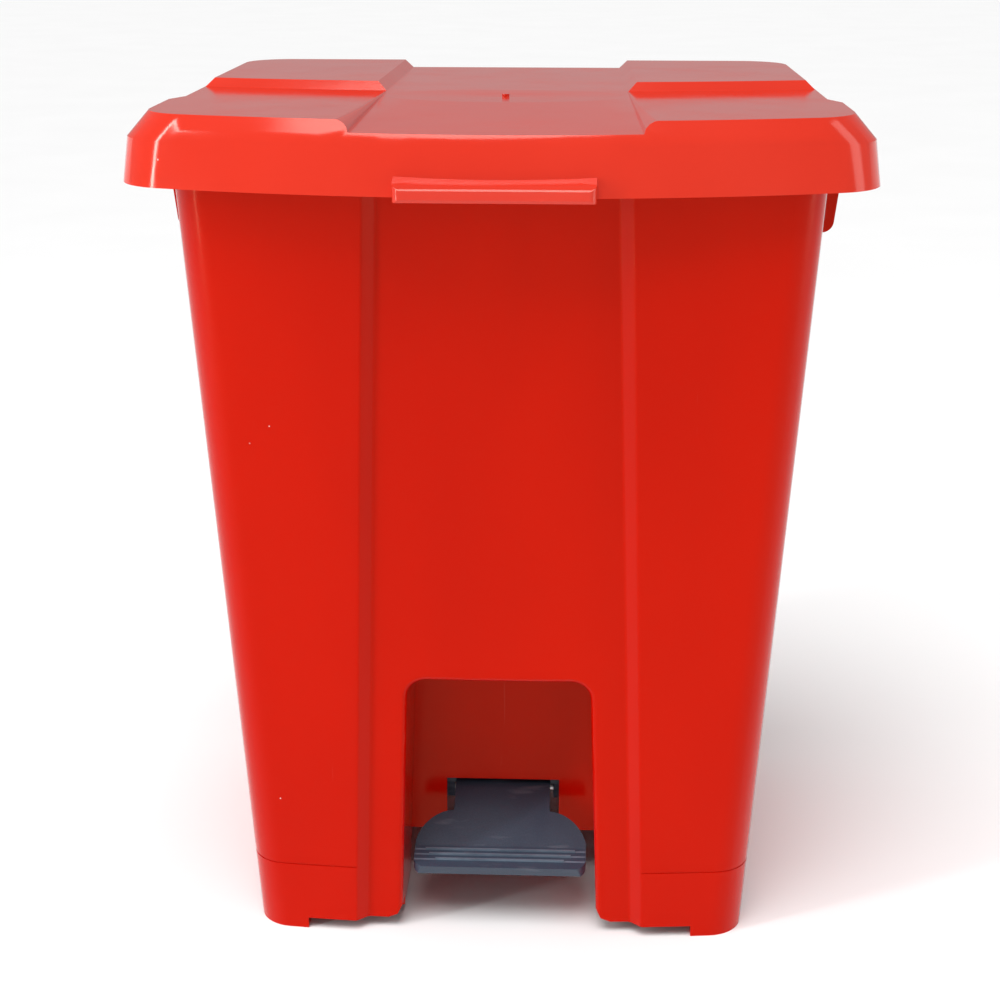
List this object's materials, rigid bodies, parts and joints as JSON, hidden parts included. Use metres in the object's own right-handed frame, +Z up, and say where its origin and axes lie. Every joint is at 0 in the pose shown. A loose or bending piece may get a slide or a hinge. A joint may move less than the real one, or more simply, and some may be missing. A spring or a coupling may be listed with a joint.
{
  "type": "pedal waste bin",
  "caption": "Tapered square plastic bin with a hinged lid, opened by a foot pedal through a lever and a push rod up the back.",
  "frame": {"origin": "on the floor, under the middle of the bin's overall box", "axes": "+Z up, +X to the bin's left-right width with the bin seen from the front, front and pedal face -Y, hinge at +Y"},
  "size_m": [0.486, 0.42, 0.599],
  "materials": {
    "red_body": "moulded, glossy",
    "red_lid": "moulded, glossy",
    "grey_plastic": "moulded, satin",
    "dark_plastic": "moulded, satin",
    "zinc_steel": "zinc plated"
  },
  "bodies": {
    "bin": {"body_shell": "red_body", "hinge_pin_right": "zinc_steel", "hinge_pin_left": "zinc_steel", "hinge_clip_right": "zinc_steel", "hinge_clip_left": "zinc_steel", "rod_guide_lower": "dark_plastic", "rod_guide_upper": "dark_plastic", "guide_screws": "zinc_steel", "pedal_axle": "zinc_steel", "axle_clips": "zinc_steel", "axle_bracket_right": "dark_plastic", "axle_bracket_left": "dark_plastic", "bearing_screws": "zinc_steel"},
    "lid": {"lid": "red_lid", "lift_bracket": "zinc_steel", "lift_pin": "zinc_steel", "bracket_screws": "zinc_steel"},
    "push_rod": {"push_rod": "zinc_steel", "rod_head": "dark_plastic", "rod_foot": "dark_plastic"},
    "pedal": {"pedal": "grey_plastic", "lever_arm": "zinc_steel", "lever_bolts": "zinc_steel", "lever_nuts": "zinc_steel", "lever_pin": "zinc_steel"}
  },
  "joints": [
    {"name": "lid_hinge", "type": "hinge", "parent": "bin", "child": "lid", "pos_m": [0, 0.202, 0.55], "axis": [-1, 0, 0], "range_deg": [0, 80]},
    {"name": "rod_slide", "type": "slide", "parent": "bin", "child": "push_rod", "axis": [0, 0, 1], "range_m": [0, 0.05162]},
    {"name": "pedal_pivot", "type": "hinge", "parent": "bin", "child": "pedal", "pos_m": [0, -0.0245, 0.066], "axis": [1, 0, 0], "range_deg": [0, 15.37]}
  ],
  "couplings": [
    {"joint": "rod_slide", "follows": "lid_hinge", "m_per_rad": 0.036829},
    {"joint": "pedal_pivot", "follows": "lid_hinge", "ratio": 0.19149}
  ]
}
